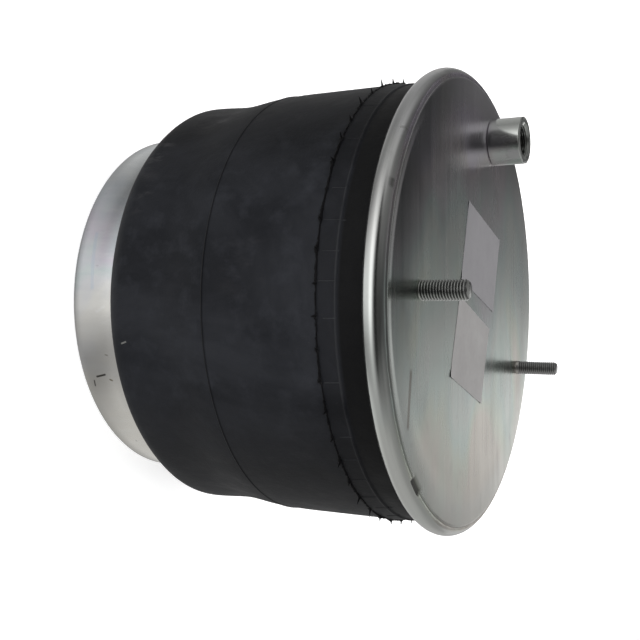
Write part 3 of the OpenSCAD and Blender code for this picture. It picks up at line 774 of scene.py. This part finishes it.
def piston_drum():
    """Drawn drum: top, shoulder, straight neck, flared flank and rounded foot, and back inside."""
    neck_r, bore_r, sheet = 111.7, 8.5, 3.0
    foot_in_r, foot_round = 107.0, 4.0
    flare_top, flare_foot = 46.0, 16.0
    shoulder_r = PISTON_TOP_Z - SHOULDER[1]
    neck, knee, foot = (neck_r, NECK_Z), (neck_r, flare_top), (FOOT_R, flare_foot)
    outside = [(r, PISTON_TOP_Z) for r in (bore_r, 40.0, 80.0)] + arc(SHOULDER, shoulder_r, 90, 0, 12)
    outside += [neck] + rounded(neck, knee, foot, 75.0) + rounded(knee, foot, (FOOT_R, foot_round), 60.0)
    outside += arc((FOOT_R - foot_round, foot_round), foot_round, 0, -90, 8) + [(foot_in_r, 0.0)]
    inside = [(foot_in_r, sheet), (FOOT_R - sheet, sheet), (FOOT_R - sheet, flare_foot)]
    inside += [(neck_r - sheet, flare_top), (neck_r - sheet, NECK_Z)]
    inside += arc(SHOULDER, shoulder_r - sheet, 0, 90, 8) + [(bore_r, PISTON_TOP_Z - sheet)]

    segs = 480
    phi = angles(segs)
    radius, z = spun(resample(outside, 3.0) + inside, segs)
    drawn = np.clip(z / 8.0, 0, 1) * (radius > 100.0) * (z < 60.0)
    radius = radius - drawn * (0.09 + 0.05 * np.sin(4 * phi + 1.1) + 0.04 * np.sin(9 * phi + 0.3 + z / 12.0))
    drum = turned("piston_drum", radius, z, PISTON_ZINC, sharp=50.0)
    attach(drum, "piston")
    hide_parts("piston_shell")


piston_drum()

# Top plate
ROLL_MID = (PLATE_R - ROLL_R, RIM_Z + ROLL_R)
FACE_R = 136.6
SLOPE_R = 142.6
LIP_R = 140.5
STEP_LOW_R = 145.5
STEP_HIGH_R = 143.5
STEP_DROP = 0.11
CROWN_RADII = (142.3, 142.0, 141.5, 141.0, 140.3, 139.6, 138.9, 138.2, 137.6, 137.1, 136.6, 136.0, 135.0,
               133.0, 130.0, 127.0, 124.0, 121.0, 118.0, 116.0, 110.0, 80.0, 40.0, 2.0)


def roll_z(r):
    """Height of the rim's half-round roll at a radius."""
    return ROLL_MID[1] + np.sqrt(np.maximum(ROLL_R ** 2 - (r - ROLL_MID[0]) ** 2, 0.0))


def near(degrees, at, half):
    """1 at a direction around the plate, falling to 0 at a number of degrees from it."""
    off = np.abs((degrees - at + 180.0) % 360.0 - 180.0)
    return np.clip((half - off) / (0.25 * half), 0.0, 1.0)


def rising(value, start, width):
    """0 up to a start, rising to 1 over a width."""
    return np.clip((value - start) / width, 0.0, 1.0)


def falling(value, end, width):
    """1 up to a width before the end, falling to 0 there."""
    return np.clip((end - value) / width, 0.0, 1.0)


def crown(r, degrees):
    """Share of the crown's height: a short slope at the front, a long faint one further round."""
    short = rising(r, FACE_R, SLOPE_R - FACE_R)
    wide = rising(r, 116.0, SLOPE_R - 116.0)
    from_front = (degrees + 180.0) % 360.0 - 180.0
    front = rising(from_front, -78.0, 30.0) * falling(from_front, 34.0, 28.0)
    return front * ease(short) + (1 - front) * ease(wide)


def ripple(noise, a, low, high, counts):
    """Sum of waves around the plate, each with a random height and place."""
    return sum(noise.uniform(low, high) * np.sin(n * a + noise.uniform(0, 6.28)) for n in counts)


def plate_rows(a, degrees):
    """Radius, height and painted shade of the sheet, from inside the plate round the rim to the face."""
    noise = random.Random(21)
    wobble = ripple(noise, a, 0.02, 0.05, (3, 7, 13, 22, 31, 47, 60))
    height = 1.0 + 2.0 * ripple(noise, a, 0.02, 0.06, (5, 11, 19, 37, 53))
    height = height * (1 - 0.6 * rising(degrees, 30.0, 30.0) * falling(degrees, 140.0, 20.0))
    flat = np.ones(len(a))
    rows = []

    def row(r, z, dark=0.0):
        rows.append((r * flat, z * flat, dark * flat))

    for r in (2.0, 60.0, 110.0, FACE_R):
        row(r, RIDE_H - PLATE_T)
    roll = arc(ROLL_MID, ROLL_R - PLATE_T, 90, -90, 16) + [(LIP_R, RIM_Z + PLATE_T), (LIP_R, RIM_Z)]
    roll_end = math.degrees(math.acos((STEP_LOW_R - ROLL_MID[0]) / ROLL_R)) - 2.0
    for r, z in roll + arc(ROLL_MID, ROLL_R, -90, roll_end, 56):
        row(r, z)

    low, high = STEP_LOW_R + wobble, STEP_HIGH_R + wobble
    foot, top = roll_z(low), roll_z(high)
    floor_z = foot - STEP_DROP * height
    # Painted shade in the groove of the crimp's step
    for share, z, dark in (
            (0.0, foot, 0.0), (0.08, foot - 0.02, 0.1), (0.5, 0.5 * (foot + floor_z), 0.0),
            (0.66, floor_z, 0.35), (0.76, floor_z + 0.12, 0.6), (0.92, top - 0.1, 0.4), (1.0, top, 0.0)):
        row(low + (high - low) * share, z, dark)

    rise = float(roll_z(np.array(SLOPE_R))) - RIDE_H
    row(SLOPE_R, RIDE_H + rise)
    # Painted shade on the crown's slope on the lower side of the plate
    low_side = rising(degrees, 12.0, 20.0) * falling(degrees, 62.0, 16.0)
    for r in CROWN_RADII:
        row(r, RIDE_H + rise * crown(r, degrees), 0.3 * low_side * rising(r, 124.0, 10.0))
    return [np.array(column) for column in zip(*rows)]


def top_plate():
    """Pressed plate: flat face, raised crown with the fine step of the crimp, half-round rim."""
    a = angles(1080)
    degrees = np.degrees(a)
    radius, z, dark = plate_rows(a, degrees)
    outer = z > ROLL_MID[1] + 1.0

    # Tool mark of the crimp, darkened with painted shade in its hollow
    pocket = outer * near(degrees, 45.2, 3.05)
    pocket = pocket * falling(radius, 146.5, 0.35) * rising(radius, 140.8, 4.6)
    z = z - 0.85 * pocket
    dark = np.maximum(dark, np.clip(1.6 * pocket, 0, 1) * (radius > 137.5))

    # Dent in the rim, darkened with painted shade
    dent = outer * near(degrees, -25.6, 1.1) * np.exp(-((radius - 146.9) / 1.2) ** 2)
    z = z - 0.35 * dent
    dark = np.maximum(dark, 0.6 * dent)

    # Fine seam across the rim
    seam = near(degrees, -40.2, 0.3) * rising(radius, 145.2, 1.0) * (z > 226.5)
    radius = radius - 0.1 * seam
    dark = np.maximum(dark, 0.3 * seam)

    obj = turned("top_plate_sheet", radius, z, ZINC, closed=False, sharp=60.0)
    tag(obj, "painted_shade_and_seam", dark)
    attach(obj, "plate")
    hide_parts("top_plate")


top_plate()


# Threads
def thread_shape(turn, flat_crest, flat_root):
    """Depth of a 60-degree thread at a share of its pitch: 0 on the crest, 1 in the root."""
    t = np.abs(((turn + 0.5) % 1.0) - 0.5) * 2
    return np.clip((t - flat_crest) / (1 - flat_crest - flat_root), 0.0, 1.0)


def flange(r, low, high):
    """Rows of a round flange with narrow chamfers."""
    return [(r - 0.4, low), (r, low + 0.4), (r, high - 0.4), (r - 0.4, high)]


def columns(plain, threaded):
    """Radius, height and share of thread of the rows of a turned piece, as upright columns."""
    rows = [(r, z, 0) for r, z in plain] + [(r, z, 1) for r, z in threaded]
    return [np.array(column)[:, None] for column in zip(*rows)]


def stud(name, node, centre, d, pitch, head_d, shoulder_h, material):
    """Threaded stud on the plate with its shoulder in the hole and its head below."""
    segs, per_turn = 96, 14
    r, head_r = d / 2, head_d / 2
    depth = 0.61 * pitch
    tip_r = r - 1.5
    head_top = RIDE_H - PLATE_T - SEAT_GAP
    plain = flange(head_r, lowest(node), head_top)
    plain += [(r + 0.5, head_top), (r + 0.5, RIDE_H - 0.05)]
    plain += [(r, RIDE_H - 0.04), (r, RIDE_H + shoulder_h - 0.02)]
    start, stop = RIDE_H + shoulder_h, highest(node)
    n = int((stop - start) / pitch * per_turn)
    base, z, cut = columns(plain, [(r, start + (stop - start) * i / n) for i in range(n + 1)])
    form = thread_shape(z / pitch - angles(segs) / (2 * math.pi), 0.16, 0.14) * cut
    form = form * rising(z, start, 0.3 * pitch)
    chamfer = np.where(cut > 0, tip_r + stop - z, 1e3)
    radius = np.minimum(base - depth * form, np.maximum(chamfer, tip_r))
    obj = turned(name, radius, np.repeat(z, segs, 1), material, centre, closed=False, sharp=55.0)
    tag(obj, "root_depth", form)
    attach(obj, "plate")
    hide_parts(node)


stud("mounting_stud_thread", "mounting_stud", STUD_AT, 12.0, 1.75, 24.0, 0.0, STUD_STEEL)
stud("locating_stud_thread", "locating_stud", PIN_AT, 10.0, 1.5, 13.5, 0.8, PIN_STEEL)


def port_boss():
    """Air port boss: turned outside, chamfered mouth and M22 x 1.5 thread in its bore."""
    segs, per_turn, body_rows = 192, 12, 8
    bore_r, pitch, thread_h = 10.2, 1.5, 0.92
    body_r, mouth_r, spigot_r = 16.0, 12.0, 13.0
    flange_r, flange_t = 14.75, 2.5
    bottom, top = lowest("air_port_boss"), highest("air_port_boss")
    flange_top = bottom + flange_t
    plain = [(bore_r + 0.6, bottom)] + flange(flange_r, bottom, flange_top)
    plain += [(spigot_r, flange_top), (spigot_r, RIDE_H)]
    plain += [(body_r - 0.7, RIDE_H), (body_r - 0.1, RIDE_H + 0.4)]
    plain += [(body_r, RIDE_H + 0.8 + 20.5 * i / body_rows) for i in range(body_rows + 1)]
    plain += [(body_r, top - 0.5), (body_r - 0.1, top - 0.3), (body_r - 0.5, top), (13.7, top),
              (mouth_r + 0.15, top), (mouth_r, top - 0.08)]
    bore_top = top - 0.1
    bore_h = bore_top - bottom - 0.6
    n = int(bore_h / pitch * per_turn)
    base, z, cut = columns(plain, [(0.0, bore_top - bore_h * i / n) for i in range(n + 1)])
    form = thread_shape(z / pitch + angles(segs) / (2 * math.pi), 0.14, 0.16)
    bore = np.maximum(bore_r + thread_h * (1 - form), mouth_r - (top - z))
    radius = np.where(cut > 0, bore, base)
    height = np.repeat(z, segs, 1)
    obj = turned("air_port_boss_thread", radius, height, PORT_STEEL, PORT_AT, sharp=45.0)
    tag(obj, "root_depth", (1 - form) * cut * np.clip((top - 1.6 - z) / 2.0, 0.2, 1.0))
    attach(obj, "plate")
    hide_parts("air_port_boss")


port_boss()


# Labels
def label(name, node, x, y, turn, length, seed, material):
    """Blank sticker: thin sheet pressed on the plate, its corners a little lifted."""
    noise = random.Random(seed)
    width, thick, curl = 53.0, 0.15, 9.0
    across, along = 30, 40
    cos, sin = math.cos(math.radians(-turn)), math.sin(math.radians(-turn))
    corners = [(noise.uniform(0.15, 0.5), u, v) for u, v in ((0, 0), (1, 0), (0, 1), (1, 1))]
    verts, faces = [], []
    for base in (RIDE_H, RIDE_H + thick):
        for j in range(along + 1):
            for i in range(across + 1):
                u, v = i / across, j / along
                px, py = (u - 0.5) * width, (v - 0.5) * length
                lift = sum(most * max(0.0, 1 - math.hypot((u - cu) * width, (v - cv) * length) / curl) ** 2
                           for most, cu, cv in corners)
                lift += 0.03 + 0.02 * math.sin(9 * u + seed) * math.sin(7 * v)
                verts.append((x + px * cos - py * sin, y + px * sin + py * cos, base + lift))
    row = across + 1
    count = row * (along + 1)
    for j in range(along):
        for i in range(across):
            a = j * row + i
            faces.append((a + row, a + row + 1, a + 1, a))
            faces.append((count + a, count + a + 1, count + a + row + 1, count + a + row))
    edge = list(range(across)) + [across + j * row for j in range(along)]
    edge += [along * row + across - i for i in range(across)] + [(along - j) * row for j in range(along)]
    for p, q in zip(edge, edge[1:] + edge[:1]):
        faces.append((p, q, count + q, count + p))
    obj = mesh_object(name, verts, faces, material)
    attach(obj, "plate")
    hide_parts(node)


label("label_sheet_upper", "label_upper", -29.5, 19.0, 17.5, 72.0, 3, PAPER)
label("label_sheet_lower", "label_lower", 31.5, -4.0, 20.0, 66.0, 8, PAPER_LOW)


# Floor and world
def floor_material():
    """Plain pale floor that keeps the object's shadow and shows white around it."""
    s = Shader("studio_floor", Roughness=0.9)
    s.set(Base_Color=s.mix(s.noise(3.0), (0.7, 0.7, 0.7), (0.72, 0.72, 0.72)))
    glow = s.add("Emission", Strength=s.times(seen_directly(s.tree), 0.62))
    both = s.add("AddShader")
    s.link(s.bsdf.outputs[0], both.inputs[0])
    s.link(glow.outputs[0], both.inputs[1])
    s.link(both.outputs[0], s.out.inputs[0])
    return s.material


FLOOR_CORNERS = [(9000 * x, 9000 * y, -0.2) for x, y in ((-1, -1), (1, -1), (1, 1), (-1, 1))]
floor = mesh_object("studio_floor", FLOOR_CORNERS, [(0, 1, 2, 3)], floor_material())


def studio_world():
    """White to the camera and to reflections, and a soft even light on the object."""
    world = bpy.data.worlds.new("studio")
    world.use_nodes = True
    tree = world.node_tree
    tree.nodes.clear()
    white = tree.nodes.new("ShaderNodeBackground")
    white.inputs["Strength"].default_value = 1.0
    light = tree.nodes.new("ShaderNodeBackground")
    light.inputs["Color"].default_value = (0.97, 0.98, 1.0, 1.0)
    light.inputs["Strength"].default_value = 0.22
    mixed = tree.nodes.new("ShaderNodeMixShader")
    out = tree.nodes.new("ShaderNodeOutputWorld")
    for a, b in ((seen_directly(tree), mixed.inputs[0]), (light.outputs[0], mixed.inputs[1]),
                 (white.outputs[0], mixed.inputs[2]), (mixed.outputs[0], out.inputs[0])):
        tree.links.new(a, b)
    SCENE.world = world


studio_world()


# Lamps
def lamp(name, location, size, power, colour=(1, 1, 1), target=(0, 0, 0.12)):
    """Square soft lamp that metal doesn't mirror."""
    data = bpy.data.lights.new(name, "AREA")
    data.shape = "RECTANGLE"
    data.size = data.size_y = size
    data.energy = power
    data.color = colour
    obj = bpy.data.objects.new(name, data)
    SCENE.collection.objects.link(obj)
    obj.location = location
    obj.rotation_euler = (Vector(target) - Vector(location)).to_track_quat("-Z", "Y").to_euler()
    obj.visible_glossy = False


lamp("key_soft", (-0.35, -1.8, 1.7), 1.6, 38.0)
lamp("fill_soft", (1.7, -0.7, 1.5), 1.4, 3.0, (1.0, 0.985, 0.96))
lamp("edge_soft", (-1.25, 1.8, 0.9), 1.0, 60.0, (1.0, 0.98, 0.97))
lamp("top_soft", (0.0, 0.5, 2.4), 1.8, 16.0, target=(0, 0, 0.1))


# Cards
def card(name, corners, faces, tone):
    """Card that only reflections see, for the bright metal to mirror."""
    s = Shader(name, Roughness=1.0)
    glow = s.add("Emission", Color=tone(s))
    s.link(glow.outputs[0], s.out.inputs[0])
    obj = mesh_object(name, corners, faces, s.material)
    for ray in ("camera", "diffuse", "shadow", "transmission", "volume_scatter"):
        setattr(obj, "visible_" + ray, False)


def grey_ramp(s, value, low, high, levels):
    """Ramp of greys between two ends of a value, from the level in percent at places between."""
    stops = [((at - low) / (high - low), (level / 100,) * 3) for at, level in levels.items()]
    return s.ramp(s.ranged(value, low, high), stops)


def back_tone(s):
    """Backdrop as the plate mirrors it: dark on the left, pale low on the right."""
    x, _, z = s.parts()
    across = grey_ramp(s, x, -1.0, 1.0, {
        -1.0: 14, -0.62: 14, -0.5: 10, -0.42: 6.5, -0.36: 10, -0.3: 17, -0.15: 23, 0.0: 34, 0.12: 54,
        0.28: 78, 0.38: 84, 0.5: 76, 0.62: 58, 1.0: 46})
    rise = grey_ramp(s, z, 0.5, 2.7, {
        0.5: 130, 0.78: 130, 0.88: 112, 0.95: 93, 1.0: 78, 1.08: 45, 1.16: 25, 1.24: 16, 1.34: 14, 2.7: 10})
    above = grey_ramp(s, z, 0.5, 2.7, {
        0.5: 0, 1.3: 0, 1.46: 32, 1.75: 32, 2.3: 8, 2.7: 4})
    return s.mix(1.0, s.mix(1.0, across, rise, "MULTIPLY"), above, "ADD")


def layered(s, level, rings):
    """Tone by direction in degrees, with its own ramp at each level, blended between them."""
    around = s.times(s.azimuth(), 180 / math.pi)
    tone, below = None, None
    for at, levels in rings:
        ring = grey_ramp(s, around, -180, 180, levels)
        tone = ring if tone is None else s.mix(s.ranged(level, below, at), tone, ring)
        below = at
    return tone


def floor_tone(s):
    """Floor as the piston and the rim mirror it: pale in front, duller at the sides."""
    x, y, _ = s.parts()
    return layered(s, s.hypot(x, y), (
        (0.1215, {-180: 40, 180: 40}),
        (0.13, {-180: 50, -120: 50, -80: 62, -62: 62, -48: 42, -30: 60, -15: 90, 0: 85, 18: 34, 28: 32,
                40: 50, 58: 68, 80: 74, 120: 60, 180: 50}),
        (0.2, {-180: 50, -120: 45, -85: 40, -66: 22, -54: 22, -46: 28, -38: 40, -28: 58, -12: 95, 0: 86,
               13: 52, 20: 34, 31: 38, 44: 66, 60: 70, 180: 50}),
        (0.4, {-180: 48, -129: 47, -107: 33, -85: 25, -62: 29, -42: 55, -21: 95, 0: 95, 14: 55, 24: 42,
               42: 50, 80: 48, 180: 48}),
        (0.66, {-180: 48, -129: 45, -107: 36, -82: 27, -60: 44, -42: 90, -22: 155, 2: 160, 14: 95, 22: 62,
                42: 46, 70: 50, 110: 48, 180: 48}),
        (2.6, {-180: 46, -129: 39, -107: 36, -84: 34, -62: 48, -43: 84, -22: 145, 2: 120, 13: 60, 22: 40,
               42: 42, 66: 50, 110: 49, 140: 47, 180: 46})))


def room_tone(s):
    """Room by direction and height: dark in front, duller at the sides."""
    x, y, z = s.parts()
    elevation = s.times(s.math("ARCTAN2", s.minus(z, 0.22), s.hypot(x, y)), 180 / math.pi)
    return layered(s, elevation, (
        (-4, {-180: 45, -150: 45, -130: 37, -110: 36, -90: 37, -67: 46, -45: 82, -22: 130, 0: 100, 12: 50,
              22: 36, 45: 41, 67: 50, 110: 49, 180: 45}),
        (6, {-180: 30, -150: 25, -130: 24, -110: 30, -90: 38, -67: 46, -45: 58, -22: 45, 0: 30, 22: 15,
             45: 32, 67: 46, 110: 48, 130: 36, 180: 36}),
        (16, {-180: 30, -150: 15, -130: 18, -110: 34, -90: 46, -67: 50, -60: 44, -50: 8, -42: 2, 0: 1,
              28: 2, 40: 22, 67: 48, 110: 44, 130: 34, 180: 40}),
        (27, {-180: 30, -150: 7, -130: 14, -110: 28, -90: 42, -67: 48, -50: 38, -40: 8, -28: 2, 0: 2, 22: 2,
              40: 20, 67: 43, 110: 34, 130: 33, 180: 40}),
        (38, {-180: 30, -150: 6, -110: 12, -90: 18, -67: 27, -45: 22, -22: 12, 0: 6, 22: 6, 45: 22, 67: 35,
              110: 33, 150: 40, 180: 30}),
        (50, {-180: 20, -150: 10, -110: 15, -67: 20, -45: 17, -22: 10, 0: 6, 22: 5, 45: 16, 67: 32, 110: 30,
              150: 28, 180: 20}),
        (64, {-180: 26, -150: 22, -110: 17, -45: 16, -22: 10, 0: 5, 22: 4, 45: 18, 80: 28, 130: 16,
              180: 26}),
        (82, {-180: 10, 0: 6, 180: 10})))


def dome(radius, rings, segs):
    """Corners and faces of a half ball over the floor, open below."""
    verts = [(radius * math.cos(t) * math.cos(a), radius * math.cos(t) * math.sin(a), radius * math.sin(t))
             for t in np.linspace(0, math.radians(87), rings) for a in angles(segs)]
    faces = grid_faces(rings, segs, False)
    faces.append(tuple(range((rings - 1) * segs, rings * segs)))
    return verts, faces


ROOM_R = 3600
ROOM_SEGS = 48
BACK_CORNERS = [(-1900, 2200, 0), (1900, 2200, 0), (1900, 2200, 2300), (-1900, 2200, 2300)]
ROUND_CORNERS = [(ROOM_R * math.cos(a), ROOM_R * math.sin(a), -0.1) for a in angles(ROOM_SEGS)]
card("back_card", BACK_CORNERS, [(0, 1, 2, 3)], back_tone)
card("room_card", *dome(ROOM_R, 16, ROOM_SEGS), room_tone)
card("floor_card", ROUND_CORNERS, [tuple(range(ROOM_SEGS))], floor_tone)


# Camera, fitted to the outlines in the photograph
def photo_camera(location, forward, up, lens):
    """Camera at a place in metres, along a direction and turned to an upward one."""
    data = bpy.data.cameras.new("camera")
    data.sensor_width = 36.0
    data.lens = lens
    data.clip_end = 50.0
    camera = bpy.data.objects.new("camera", data)
    SCENE.collection.objects.link(camera)
    forward = Vector(forward).normalized()
    right = forward.cross(Vector(up)).normalized()
    axes = Matrix((right, right.cross(forward), -forward)).transposed().to_4x4()
    camera.matrix_world = Matrix.Translation(location) @ axes
    SCENE.camera = camera


photo_camera((0.0, -0.598, 0.423), (0.0179, 0.8916, -0.4525), (-0.99984, 0.0168, -0.0064), 53.49)

SCENE.view_settings.view_transform = "Standard"
